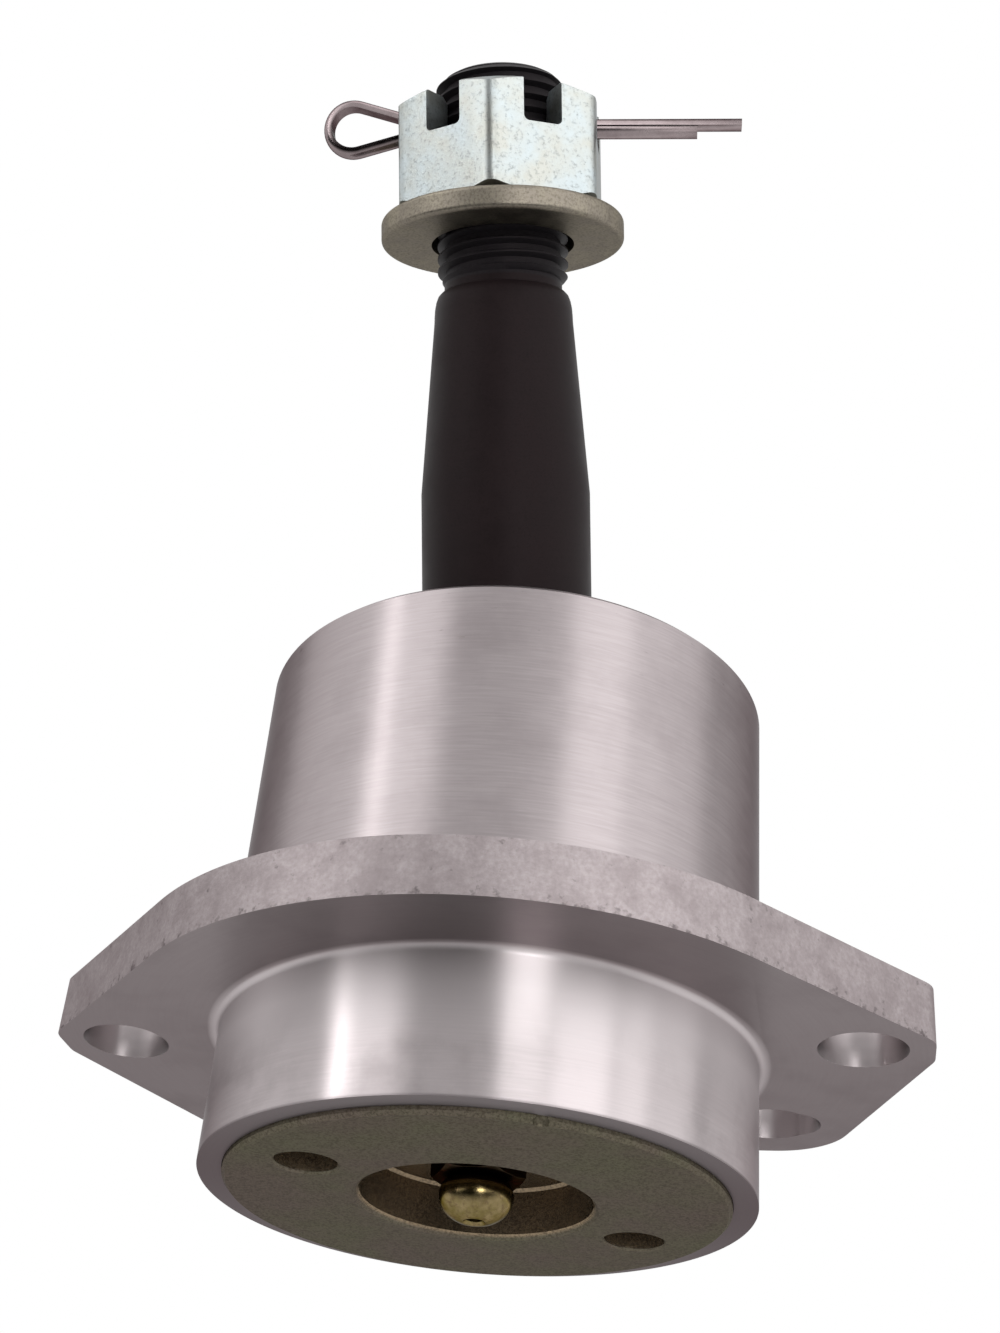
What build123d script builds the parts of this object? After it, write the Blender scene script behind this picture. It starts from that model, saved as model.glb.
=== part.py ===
from build123d import *
import os
from math import asin, cos, radians, sin, sqrt, tan

# Bolt-in suspension ball joint, millimetres. The origin is the centre of the ball and +Z runs
# up the housing's axis. At rest the stud leans towards -Y until its shank is at the lip.

# Housing
barrel_radius = 26.0
housing_height = 51.6
ball_above_rim = 41.4
rim_chamfer = 0.9
top_chamfer = 0.8
barrel_fillet = 2.0
flange_height = 13.4
flange_thickness = 5.5
flange_edge_chamfer = 0.4
flange_front_radius = 35.5
flange_front_angle = 41.0
flange_half_width = 42.2
tip_flat = 4.565
tip_corner_radius = 3.0
back_ring_width = 2.6
back_corner_radius = 4.0
bolt_hole_radius = 4.2
side_hole_to_tip = 6.55
side_hole_y = -3.5
back_hole_x = 26.5
back_hole_y = 16.4
back_lobe_radius = 8.0
back_lobe_corner_x = 31.9
hole_relief_radius = 3.2
hole_relief_offset = 1.8

# Ball and stud
ball_radius = 19.05
ball_top_flat = 16.3
ball_bottom_flat = 14.0
stud_lean = 29.46
shank_radius = 8.95
shank_length = 33.0
taper_length = 18.5
taper_per_mm = 1.0 / 12.0
taper_nose_length = 2.8
taper_nose_drop = 0.55
relief_radius = 6.4
relief_length = 1.2
thread_radius = 7.0
thread_chamfer = 0.8
stud_past_nut = 3.6
stud_head_radius = 11.0
stud_head_depth = 9.5
stud_head_thickness = 4.0
stud_head_chamfer = 0.8
cotter_hole_radius = 1.45

# Nut, washer and cotter pin
washer_radius = 13.0
washer_hole_radius = 7.65
washer_thickness = 2.5
washer_underside = 60.0
washer_edge_fillet = 0.5
nut_across_flats = 20.8
nut_height = 12.1
nut_azimuth = 4.2
nut_slot_width = 4.3
nut_slot_depth = 4.6
nut_slot_count = 6
nut_corner_cut = 30.0
cotter_radius = 1.0
cotter_split = 0.1
cotter_above_slot_floor = 2.75
cotter_loop_radius = 2.25
cotter_loop_reach = 16.15
cotter_bend_at = 8.2
cotter_bend_radius = 4.0
cotter_long_leg = 25.7
cotter_short_leg = 21.0

# Seats and preload spring
bore_radius = 22.05
seat_hole_radius = 9.0
seat_split = 1.2
lip_height = 2.8
spring_outer_radius = 21.0
spring_inner_radius = 12.5
spring_thickness = 1.5
spring_cone_height = 1.0

# Cap, its O-ring and the grease fitting
cap_radius = 23.65
cap_stands_proud = 0.7
cap_thickness = 12.5
cap_thread_length = 8.5
cap_edge_chamfer = 0.4
cap_recess_radius = 10.9
cap_recess_depth = 4.9
cap_recess_chamfer = 0.5
spanner_hole_radius = 2.9
spanner_hole_circle = 17.2
spanner_hole_depth = 5.0
spanner_azimuth = 37.3
o_ring_section = 1.0
o_ring_groove_width = 2.5
o_ring_groove_depth = 2.15
fitting_thread_radius = 3.1
fitting_thread_length = 6.0
fitting_hex = 7.94
fitting_hex_height = 2.7
fitting_neck_radius = 2.35
fitting_head_radius = 3.45
fitting_head_height = 2.7
fitting_tip_drop = 1.7
fitting_tip_radius = 1.3
fitting_mouth_radius = 0.75
fitting_bore_radius = 1.4
check_ball_radius = 1.2
check_ball_depth = 2.3
check_spring_wire = 0.2
check_spring_radius = 1.0
check_spring_turns = 4

# Clearances
running_clearance = 0.05
seat_clearance = 0.2
lip_clearance = 0.3
stack_clearance = 0.1
shoulder_gap = 0.3

# Levels along the housing axis
rim_z = -ball_above_rim
top_z = rim_z + housing_height
flange_z = rim_z + flange_height
cap_face_z = rim_z - cap_stands_proud
cap_shoulder_z = cap_face_z + cap_thread_length
cap_top_z = cap_face_z + cap_thickness
recess_floor_z = cap_face_z + cap_recess_depth
spring_height = spring_thickness + spring_cone_height
seat_bottom_z = cap_top_z + spring_height + 2 * stack_clearance
seat_radius = bore_radius - running_clearance
socket_radius = ball_radius + seat_clearance
lip_under_z = top_z - lip_height

# Levels along the stud, from the centre of the ball
taper_end = shank_length + taper_length
taper_end_radius = shank_radius - taper_length * taper_per_mm
relief_start = taper_end + taper_nose_length
thread_start = relief_start + relief_length
nut_underside = washer_underside + washer_thickness
nut_top = nut_underside + nut_height
slot_floor = nut_top - nut_slot_depth
cotter_level = slot_floor + cotter_above_slot_floor
stud_length = nut_top + stud_past_nut

lean_sin = sin(radians(stud_lean))
lean_cos = cos(radians(stud_lean))
stud_direction = (0, -lean_sin, lean_cos)
stud_axis = Axis((0, 0, 0), stud_direction)
stud_base = Plane(origin=(0, 0, 0), x_dir=(1, 0, 0), z_dir=stud_direction)
stud_section = Plane(origin=(0, 0, 0), x_dir=(1, 0, 0), z_dir=(0, -lean_cos, -lean_sin))
nut_x_dir = (
    cos(radians(nut_azimuth)),
    lean_cos * sin(radians(nut_azimuth)),
    lean_sin * sin(radians(nut_azimuth)),
)
nut_base = Plane(origin=(0, 0, 0), x_dir=nut_x_dir, z_dir=stud_direction)
nut_corner_radius = nut_across_flats / 2 / cos(radians(30))


def on_sphere(radius, height):
    """Point (r, z) on a sphere's section at the given height."""
    return (sqrt(radius**2 - height**2), height)


os.makedirs("parts", exist_ok=True)

# Housing: flange plate first, then the turned barrel, then the stepped bore with its round lip
front_x = flange_front_radius * cos(radians(flange_front_angle))
front_y = -flange_front_radius * sin(radians(flange_front_angle))
tip_front_y = (flange_half_width * cos(radians(flange_front_angle)) - flange_front_radius) / sin(
    radians(flange_front_angle)
)
tip_back_y = tip_front_y + tip_flat
side_hole_x = flange_half_width - side_hole_to_tip
flange_back_y = back_hole_y + back_lobe_radius
back_ring_radius = barrel_radius + back_ring_width

with BuildPart() as housing:
    with BuildSketch(Plane.XY.offset(flange_z)) as flange:
        with BuildLine():
            ThreePointArc((-front_x, front_y), (0, -flange_front_radius), (front_x, front_y))
            Polyline(
                (front_x, front_y),
                (flange_half_width, tip_front_y),
                (flange_half_width, tip_back_y),
                (back_lobe_corner_x, flange_back_y),
                (-back_lobe_corner_x, flange_back_y),
                (-flange_half_width, tip_back_y),
                (-flange_half_width, tip_front_y),
                (-front_x, front_y),
            )
        make_face()
        tips = flange.vertices().filter_by(lambda v: abs(abs(v.X) - flange_half_width) < 0.01)
        fillet(tips, tip_corner_radius)
        lobes = flange.vertices().filter_by(lambda v: abs(abs(v.X) - back_lobe_corner_x) < 0.01)
        fillet(lobes, back_lobe_radius)
        Circle(back_ring_radius)
        ring_x = sqrt(back_ring_radius**2 - flange_back_y**2)
        corners = flange.vertices().filter_by(
            lambda v: abs(abs(v.X) - ring_x) < 0.01 and abs(v.Y - flange_back_y) < 0.01
        )
        fillet(corners, back_corner_radius)
    extrude(amount=flange_thickness)
    rims = housing.faces().filter_by(Plane.XY)
    chamfer(rims.edges(), flange_edge_chamfer)
    with BuildSketch(Plane.XY.offset(rim_z)):
        Circle(barrel_radius)
    extrude(amount=housing_height)
    barrel_edges = housing.edges().filter_by(GeomType.CIRCLE).filter_by(
        lambda e: abs(e.radius - barrel_radius) < 0.01
    )
    rim_edge = barrel_edges.sort_by(Axis.Z)[0]
    top_edge = barrel_edges.sort_by(Axis.Z)[-1]
    joint_edges = barrel_edges.sort_by(Axis.Z)[1:-1]
    fillet(joint_edges, barrel_fillet)
    chamfer(rim_edge, rim_chamfer)
    chamfer(top_edge, top_chamfer)
    with BuildSketch(Plane.XY.offset(flange_z - barrel_fillet)):
        for side in (-1, 1):
            with Locations((side * side_hole_x, side_hole_y), (side * back_hole_x, back_hole_y)):
                Circle(bolt_hole_radius)
            with Locations((side * (back_hole_x + hole_relief_offset), back_hole_y)):
                Circle(hole_relief_radius)
    extrude(amount=flange_thickness + 2 * barrel_fillet, mode=Mode.SUBTRACT)
    with BuildSketch(Plane.XZ):
        lip_sphere = ball_radius + lip_clearance
        with BuildLine():
            Polyline(
                on_sphere(lip_sphere, top_z),
                (0, top_z),
                (0, rim_z),
                (cap_radius + running_clearance, rim_z),
                (cap_radius + running_clearance, cap_shoulder_z + shoulder_gap),
                (bore_radius, cap_shoulder_z + shoulder_gap),
                (bore_radius, lip_under_z),
                on_sphere(lip_sphere, lip_under_z),
            )
            ThreePointArc(
                on_sphere(lip_sphere, lip_under_z),
                on_sphere(lip_sphere, top_z - lip_height / 2),
                on_sphere(lip_sphere, top_z),
            )
        make_face()
    revolve(axis=Axis.Z, mode=Mode.SUBTRACT)
housing.part.label = "housing"
export_step(housing.part, "parts/housing.step")

# Seats: two rings with a spherical socket, one above and one below the ball's equator
with BuildPart() as upper_seat:
    seat_low = seat_split / 2
    seat_high = lip_under_z - stack_clearance
    with BuildSketch(Plane.XZ):
        with BuildLine():
            ThreePointArc(
                on_sphere(socket_radius, seat_low),
                on_sphere(socket_radius, (seat_low + seat_high) / 2),
                on_sphere(socket_radius, seat_high),
            )
            Polyline(
                on_sphere(socket_radius, seat_high),
                (seat_radius, seat_high),
                (seat_radius, seat_low),
                on_sphere(socket_radius, seat_low),
            )
        make_face()
    revolve(axis=Axis.Z)
upper_seat.part.label = "upper_seat"
export_step(upper_seat.part, "parts/upper_seat.step")

with BuildPart() as lower_seat:
    socket_low = -sqrt(socket_radius**2 - seat_hole_radius**2)
    with BuildSketch(Plane.XZ):
        with BuildLine():
            ThreePointArc(
                (seat_hole_radius, socket_low),
                on_sphere(socket_radius, -(seat_low - socket_low) / 2),
                on_sphere(socket_radius, -seat_low),
            )
            Polyline(
                on_sphere(socket_radius, -seat_low),
                (seat_radius, -seat_low),
                (seat_radius, seat_bottom_z),
                (seat_hole_radius, seat_bottom_z),
                (seat_hole_radius, socket_low),
            )
        make_face()
    revolve(axis=Axis.Z)
lower_seat.part.label = "lower_seat"
export_step(lower_seat.part, "parts/lower_seat.step")

# Preload spring: a coned disc that stands on the cap with its rim
with BuildPart() as preload_spring:
    spring_foot = cap_top_z + stack_clearance
    with BuildSketch(Plane.XZ):
        Polygon(
            (spring_outer_radius, spring_foot),
            (spring_outer_radius, spring_foot + spring_thickness),
            (spring_inner_radius, spring_foot + spring_height),
            (spring_inner_radius, spring_foot + spring_cone_height),
            align=None,
        )
    revolve(axis=Axis.Z)
preload_spring.part.label = "preload_spring"
export_step(preload_spring.part, "parts/preload_spring.step")

# Cap: threaded disc, pilot with an O-ring groove, coupler recess and spanner holes
groove_mid_z = (cap_shoulder_z + cap_top_z) / 2
pilot_radius = bore_radius - running_clearance
groove_radius = bore_radius - o_ring_groove_depth

with BuildPart() as cap:
    with BuildSketch(Plane.XZ):
        Polygon(
            (0, cap_face_z),
            (cap_radius, cap_face_z),
            (cap_radius, cap_shoulder_z),
            (pilot_radius, cap_shoulder_z),
            (pilot_radius, groove_mid_z - o_ring_groove_width / 2),
            (groove_radius, groove_mid_z - o_ring_groove_width / 2),
            (groove_radius, groove_mid_z + o_ring_groove_width / 2),
            (pilot_radius, groove_mid_z + o_ring_groove_width / 2),
            (pilot_radius, cap_top_z),
            (0, cap_top_z),
            align=None,
        )
    revolve(axis=Axis.Z)
    chamfer(cap.edges().group_by(Axis.Z)[0], cap_edge_chamfer)
    with BuildSketch(Plane.XY.offset(cap_face_z)):
        Circle(cap_recess_radius)
    extrude(amount=cap_recess_depth, mode=Mode.SUBTRACT)
    recess_edge = cap.edges().filter_by(GeomType.CIRCLE).group_by(Axis.Z)[0].filter_by(
        lambda e: abs(e.radius - cap_recess_radius) < 0.01
    )
    chamfer(recess_edge, cap_recess_chamfer)
    with BuildSketch(Plane.XY.offset(cap_face_z)):
        with PolarLocations(spanner_hole_circle, 2, start_angle=spanner_azimuth):
            Circle(spanner_hole_radius)
    extrude(amount=spanner_hole_depth, mode=Mode.SUBTRACT)
    with BuildSketch(Plane.XY.offset(recess_floor_z)):
        Circle(fitting_thread_radius + running_clearance)
    extrude(amount=cap_top_z - recess_floor_z, mode=Mode.SUBTRACT)
cap.part.label = "cap"
export_step(cap.part, "parts/cap.step")

with BuildPart() as cap_o_ring:
    with BuildSketch(Plane.XZ):
        with Locations((bore_radius - running_clearance - o_ring_section, groove_mid_z)):
            Circle(o_ring_section)
    revolve(axis=Axis.Z)
cap_o_ring.part.label = "cap_o_ring"
export_step(cap_o_ring.part, "parts/cap_o_ring.step")

# Grease fitting: turned nose, hexagon and thread round a bore that holds the check ball
tip_z = cap_face_z - fitting_tip_drop
head_z = tip_z + fitting_head_height
hex_z = recess_floor_z - fitting_hex_height
fitting_top_z = recess_floor_z + fitting_thread_length
check_ball_z = tip_z + check_ball_depth
cone_apex_z = check_ball_z - sqrt(2) * (check_ball_radius + running_clearance)

with BuildPart() as grease_fitting:
    with BuildSketch(Plane.XZ):
        with BuildLine():
            ThreePointArc(
                (fitting_tip_radius, tip_z),
                (fitting_head_radius * 0.86, tip_z + 0.36 * fitting_head_height),
                (fitting_head_radius, head_z),
            )
            Polyline(
                (fitting_head_radius, head_z),
                (fitting_neck_radius, hex_z - 0.2),
                (fitting_neck_radius, hex_z),
                (fitting_thread_radius, hex_z),
                (fitting_thread_radius, fitting_top_z),
                (0, fitting_top_z),
                (0, tip_z),
                (fitting_tip_radius, tip_z),
            )
        make_face()
    revolve(axis=Axis.Z)
    with BuildSketch(Plane.XY.offset(hex_z)):
        RegularPolygon(fitting_hex / 2, 6, major_radius=False)
    extrude(amount=fitting_hex_height - running_clearance)
    with BuildSketch(Plane.XZ):
        Polygon(
            (0, tip_z),
            (fitting_mouth_radius, tip_z),
            (fitting_mouth_radius, cone_apex_z + fitting_mouth_radius),
            (fitting_bore_radius, cone_apex_z + fitting_bore_radius),
            (fitting_bore_radius, fitting_top_z),
            (0, fitting_top_z),
            align=None,
        )
    revolve(axis=Axis.Z, mode=Mode.SUBTRACT)
grease_fitting.part.label = "grease_fitting"
export_step(grease_fitting.part, "parts/grease_fitting.step")

with BuildPart() as check_ball:
    with Locations((0, 0, check_ball_z)):
        Sphere(check_ball_radius)
check_ball.part.label = "check_ball"
export_step(check_ball.part, "parts/check_ball.step")

with BuildPart() as check_spring:
    coil_start = check_ball_z + check_ball_radius + check_spring_wire + stack_clearance
    coil_height = fitting_top_z - check_spring_wire - coil_start
    with BuildLine() as coil:
        Helix(coil_height / check_spring_turns, coil_height, check_spring_radius, center=(0, 0, coil_start))
    with BuildSketch(Plane(origin=coil.line @ 0, z_dir=coil.line % 0)):
        Circle(check_spring_wire)
    sweep()
check_spring.part.label = "check_spring"
export_step(check_spring.part, "parts/check_spring.step")

# Ball: bored for the stud, counterbored below for the stud's head
stud_bore = shank_radius + running_clearance
head_bore = stud_head_radius + running_clearance

with BuildPart() as ball:
    with BuildSketch(stud_section):
        with BuildLine():
            bottom_r, bottom_s = on_sphere(ball_radius, -ball_bottom_flat)
            top_r, top_s = on_sphere(ball_radius, ball_top_flat)
            ThreePointArc((bottom_r, bottom_s), (ball_radius, 0), (top_r, top_s))
            Polyline(
                (top_r, top_s),
                (stud_bore, top_s),
                (stud_bore, -stud_head_depth),
                (head_bore, -stud_head_depth),
                (head_bore, bottom_s),
                (bottom_r, bottom_s),
            )
        make_face()
    revolve(axis=stud_axis)
ball.part.label = "ball"
export_step(ball.part, "parts/ball.step")

# Stud: head, shank, taper with its rounded end, relief groove and thread, cross-drilled
head_top = -stud_head_depth - running_clearance

with BuildPart() as stud:
    with BuildSketch(stud_section):
        Polygon(
            (0, head_top - stud_head_thickness),
            (stud_head_radius - stud_head_chamfer, head_top - stud_head_thickness),
            (stud_head_radius, head_top - stud_head_thickness + stud_head_chamfer),
            (stud_head_radius, head_top),
            (shank_radius, head_top),
            (shank_radius, shank_length),
            (taper_end_radius, taper_end),
            (taper_end_radius - taper_nose_drop, relief_start),
            (relief_radius, relief_start + relief_length / 2),
            (relief_radius, thread_start),
            (thread_radius, thread_start + thread_radius - relief_radius),
            (thread_radius, stud_length - thread_chamfer),
            (thread_radius - thread_chamfer, stud_length),
            (0, stud_length),
            align=None,
        )
    revolve(axis=stud_axis)
    with BuildSketch(Plane(origin=nut_base.from_local_coords((0, 0, cotter_level)), z_dir=nut_base.x_dir)):
        Circle(cotter_hole_radius)
    extrude(amount=2 * thread_radius, both=True, mode=Mode.SUBTRACT)
stud.part.label = "stud"
export_step(stud.part, "parts/stud.step")

# Washer
with BuildPart() as washer:
    with BuildSketch(stud_base.offset(washer_underside)):
        Circle(washer_radius)
        Circle(washer_hole_radius, mode=Mode.SUBTRACT)
    extrude(amount=washer_thickness - running_clearance)
    rim = washer.edges().filter_by(GeomType.CIRCLE).filter_by(lambda e: e.radius > washer_hole_radius + 1)
    fillet(rim, washer_edge_fillet)
washer.part.label = "washer"
export_step(washer.part, "parts/washer.step")

# Castle nut: hexagon turned to a cone at both ends, six slots across its top
corner_drop = (nut_corner_radius - nut_across_flats / 2) * tan(radians(nut_corner_cut))

with BuildPart() as castle_nut:
    with BuildSketch(nut_base.offset(nut_underside)):
        RegularPolygon(nut_across_flats / 2, 6, major_radius=False, rotation=30)
    extrude(amount=nut_height)
    with BuildSketch(stud_section):
        Polygon(
            (0, nut_underside),
            (nut_across_flats / 2, nut_underside),
            (nut_corner_radius, nut_underside + corner_drop),
            (nut_corner_radius, nut_top - corner_drop),
            (nut_across_flats / 2, nut_top),
            (0, nut_top),
            align=None,
        )
    revolve(axis=stud_axis, mode=Mode.INTERSECT)
    with BuildSketch(nut_base.offset(slot_floor)):
        for turn in range(nut_slot_count // 2):
            Rectangle(2 * nut_corner_radius, nut_slot_width, rotation=60 * turn)
    extrude(amount=nut_slot_depth, mode=Mode.SUBTRACT)
    with BuildSketch(nut_base.offset(nut_underside)):
        Circle(thread_radius + running_clearance)
    extrude(amount=nut_height, mode=Mode.SUBTRACT)
castle_nut.part.label = "castle_nut"
export_step(castle_nut.part, "parts/castle_nut.step")

# Cotter pin: one half-round wire folded into an eye, its flat sides facing each other
pin_plane = Plane(
    origin=nut_base.from_local_coords((0, 0, cotter_level)),
    x_dir=nut_base.x_dir,
    z_dir=-nut_base.y_dir,
)
half_split = cotter_split / 2
spread = asin(cotter_loop_radius / (cotter_loop_reach - cotter_bend_at))
eye_x = -cotter_loop_reach + cotter_loop_radius * sin(spread)
eye_y = cotter_loop_radius * cos(spread)

with BuildPart() as cotter_pin:
    with BuildLine(pin_plane) as wire:
        FilletPolyline(
            (cotter_long_leg, half_split),
            (-cotter_bend_at, half_split),
            (eye_x, eye_y),
            radius=cotter_bend_radius,
        )
        ThreePointArc((eye_x, eye_y), (-cotter_loop_reach - cotter_loop_radius, 0), (eye_x, -eye_y))
        FilletPolyline(
            (eye_x, -eye_y),
            (-cotter_bend_at, -half_split),
            (cotter_short_leg, -half_split),
            radius=cotter_bend_radius,
        )
    wire_start = Plane(
        origin=pin_plane.from_local_coords((cotter_long_leg, half_split)),
        x_dir=pin_plane.z_dir,
        z_dir=-pin_plane.x_dir,
    )
    with BuildSketch(wire_start) as half_round:
        Circle(cotter_radius)
        side = 1 if wire_start.y_dir.dot(pin_plane.y_dir) > 0 else -1
        with Locations((0, -side * cotter_radius)):
            Rectangle(4 * cotter_radius, 2 * cotter_radius, mode=Mode.SUBTRACT)
    sweep(path=wire.line)
cotter_pin.part.label = "cotter_pin"
export_step(cotter_pin.part, "parts/cotter_pin.step")
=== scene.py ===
import math
import bmesh
import bpy
from mathutils import Matrix, Vector


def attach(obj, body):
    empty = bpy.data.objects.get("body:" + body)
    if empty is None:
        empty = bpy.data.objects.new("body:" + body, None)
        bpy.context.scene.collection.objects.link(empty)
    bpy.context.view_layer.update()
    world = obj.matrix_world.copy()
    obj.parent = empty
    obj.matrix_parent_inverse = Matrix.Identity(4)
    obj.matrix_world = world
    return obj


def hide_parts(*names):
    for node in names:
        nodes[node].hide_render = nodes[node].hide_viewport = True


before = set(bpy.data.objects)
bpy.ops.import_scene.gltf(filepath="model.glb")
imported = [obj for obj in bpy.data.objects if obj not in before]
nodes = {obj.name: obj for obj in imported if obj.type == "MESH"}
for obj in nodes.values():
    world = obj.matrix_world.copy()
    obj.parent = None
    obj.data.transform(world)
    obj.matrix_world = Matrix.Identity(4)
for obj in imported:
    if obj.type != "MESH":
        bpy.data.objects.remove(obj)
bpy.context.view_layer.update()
print("frame loaded with", len(nodes), "nodes")

mm = 0.001
studLean = 29.46   # degrees from the housing's axis, towards -Y
nutAzimuth = 4.2   # degrees that the nut and its pin are turned about the stud


# sRGB hex to the linear colour that the shaders take
def linear(code):
    parts = [int(code[i:i + 2], 16) / 255 for i in (1, 3, 5)]
    return (*[c / 12.92 if c <= 0.04045 else ((c + 0.055) / 1.055) ** 2.4 for c in parts], 1)


# one node, its settings as keywords; an input is a value, a socket, or a node whose first live output is linked
def addNode(tree, kind, inputs=None, **settings):
    node = tree.nodes.new("ShaderNode" + kind)
    for key, value in settings.items():
        setattr(node, key, value)
    for socket, value in (inputs or {}).items():
        if isinstance(value, bpy.types.Node):
            value = next(output for output in value.outputs if output.enabled)
        if isinstance(value, bpy.types.NodeSocket):
            tree.links.new(value, node.inputs[socket])
        else:
            node.inputs[socket].default_value = value
    return node


def newMaterial(name):
    material = bpy.data.materials.new(name)
    material.use_nodes = True
    material.node_tree.nodes.clear()
    return material, material.node_tree


camera = {
    "place": (33.38, -168.13, -94.56),
    "sightAzimuth": 102.0,
    "sightElevation": 33.14,   # it looks up at the cap
    "roll": 5.25,
    "lens": 50.23,
}


def addCamera(size):
    data = bpy.data.cameras.new("photoCamera")
    data.lens = size["lens"]
    data.clip_start = 0.01
    eye = bpy.data.objects.new("photoCamera", data)
    bpy.context.collection.objects.link(eye)
    a, e = math.radians(size["sightAzimuth"]), math.radians(size["sightElevation"])
    sight = Vector((math.cos(a) * math.cos(e), math.sin(a) * math.cos(e), math.sin(e)))
    level = sight.to_track_quat("-Z", "Y").to_matrix()
    eye.rotation_euler = (level @ Matrix.Rotation(math.radians(size["roll"]), 3, "Z")).to_euler()
    eye.location = Vector(size["place"]) * mm
    bpy.context.scene.camera = eye


studio = {
    "floorHeight": -140,       # mm, a little under the camera
    "floorWidth": 6000,        # mm
    "floorColour": "#dcdcdc",
    "floorLift": 0.6,          # share of plain white where the camera or metal sees the floor near the part
    "fadeFrom": 0.25, "fadeTo": 0.9,   # metres from the part over which the floor turns to plain white
    "paintedDarkFrom": -0.04, "paintedDarkTo": -0.18,   # metres along Y over which the floor, as reflections see it, is painted dark in front
    "fill": 0.55,              # of the world, for surfaces that scatter light
}


# 1 where the camera looks straight, in a reflection or through clear material
def seenAsBackground(tree):
    ray = addNode(tree, "LightPath")
    seen = addNode(tree, "Math", {0: ray.outputs["Is Camera Ray"], 1: ray.outputs["Is Glossy Ray"]},
                   operation="MAXIMUM")
    return addNode(tree, "Math", {0: seen, 1: ray.outputs["Is Transmission Ray"]}, operation="MAXIMUM")


def addStudio(size):
    world = bpy.data.worlds.new("studio")
    world.use_nodes = True
    bpy.context.scene.world = world
    tree = world.node_tree
    tree.nodes.clear()
    # white as a background, soft fill elsewhere
    level = addNode(tree, "MapRange", {"Value": seenAsBackground(tree), "To Min": size["fill"], "To Max": 1.0})
    sky = addNode(tree, "Background", {"Color": (1, 1, 1, 1), "Strength": level})
    addNode(tree, "OutputWorld", {"Surface": sky})

    shape = bmesh.new()
    bmesh.ops.create_grid(shape, x_segments=1, y_segments=1, size=size["floorWidth"] / 2 * mm)
    bmesh.ops.translate(shape, verts=shape.verts, vec=(0, 0, size["floorHeight"] * mm))
    mesh = bpy.data.meshes.new("floor")
    shape.to_mesh(mesh)
    shape.free()
    floor = bpy.data.objects.new("floor", mesh)
    bpy.context.collection.objects.link(floor)
    # matt card, pale grey: it shows only the part's soft shadow
    material, tree = newMaterial("mattCard")
    card = addNode(tree, "BsdfPrincipled", {"Base Color": linear(size["floorColour"]), "Roughness": 0.9})
    white = addNode(tree, "Emission", {"Color": (1, 1, 1, 1), "Strength": 1.0})
    place = addNode(tree, "TexCoord")
    away = addNode(tree, "VectorMath", {0: place.outputs["Object"]}, operation="LENGTH")
    fade = addNode(tree, "MapRange", {"Value": away.outputs["Value"], "From Min": size["fadeFrom"],
                                      "From Max": size["fadeTo"], "To Min": size["floorLift"]})
    lift = addNode(tree, "Math", {0: seenAsBackground(tree), 1: fade}, operation="MULTIPLY")
    card = addNode(tree, "MixShader", {0: lift, 1: card, 2: white})
    # painted dark reflection: in front, the floor is painted black where only the part's reflections see it
    split = addNode(tree, "SeparateXYZ", {"Vector": place.outputs["Object"]})
    paintedDark = addNode(tree, "MapRange", {"Value": split.outputs["Y"], "From Min": size["paintedDarkFrom"],
                                      "From Max": size["paintedDarkTo"]})
    ray = addNode(tree, "LightPath")
    paintedDark = addNode(tree, "Math", {0: paintedDark, 1: ray.outputs["Is Glossy Ray"]}, operation="MULTIPLY")
    black = addNode(tree, "Emission", {"Color": (0, 0, 0, 1), "Strength": 0.0})
    card = addNode(tree, "MixShader", {0: paintedDark, 1: card, 2: black})
    addNode(tree, "OutputMaterial", {"Surface": card})
    mesh.materials.append(material)


# azimuth and elevation seen from the part, distance, width and height in metres, brightness (the world's is 1)
lamps = {
    "leftStrip": (-139, 12, 0.60, 0.022, 0.60, 7.0),
    "leftBox": (-130, 20, 0.62, 0.33, 0.95, 0.95),
    "rightBox": (-43, 20, 0.60, 0.26, 0.95, 1.1),
    "rightLow": (-34, 8, 0.58, 0.42, 0.34, 0.9),
    "leftLow": (-124, 8, 0.58, 0.30, 0.34, 0.5),
    "rightFill": (-8, 20, 0.64, 0.44, 0.90, 0.6),
    "sideLow": (46, 5, 0.60, 0.62, 0.34, 0.3),
    "leftHigh": (-172, 38, 0.62, 0.42, 0.36, 0.6),
    "lowSpot": (-66, -12, 0.50, 0.15, 0.12, 12.0),
    "topBox": (-80, 72, 0.70, 0.40, 0.40, 1.3),
}


def addLamps(table):
    for name, (azimuth, elevation, distance, width, height, brightness) in table.items():
        data = bpy.data.lights.new(name, "AREA")
        data.shape = "RECTANGLE"
        data.size, data.size_y, data.energy = width, height, math.pi * width * height * brightness
        lamp = bpy.data.objects.new(name, data)
        bpy.context.collection.objects.link(lamp)
        a, e = math.radians(azimuth), math.radians(elevation)
        way = Vector((math.cos(a) * math.cos(e), math.sin(a) * math.cos(e), math.sin(e)))
        lamp.location = way * distance
        lamp.rotation_euler = way.to_track_quat("Z", "Y").to_euler()
        lamp.visible_camera = False


addCamera(camera)
addStudio(studio)
addLamps(lamps)
print("camera, floor and lamps set")


# where a point lies on a turned part: mm along its axis and out from it, and its heading round it
def axisPlaces(tree, lean=0.0):
    place = addNode(tree, "TexCoord")
    point = addNode(tree, "Mapping", {"Vector": place.outputs["Object"], "Rotation": (math.radians(-lean), 0, 0),
                                      "Scale": (1000, 1000, 1000)})
    split = addNode(tree, "SeparateXYZ", {"Vector": point})
    flat = addNode(tree, "CombineXYZ", {"X": split.outputs["X"], "Y": split.outputs["Y"]})
    return {"point": point, "x": split.outputs["X"], "y": split.outputs["Y"], "along": split.outputs["Z"],
            "radius": addNode(tree, "VectorMath", {0: flat}, operation="LENGTH"),
            "heading": addNode(tree, "VectorMath", {0: flat}, operation="NORMALIZE"),
            "object": place.outputs["Object"], "normal": place.outputs["Normal"]}


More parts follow.
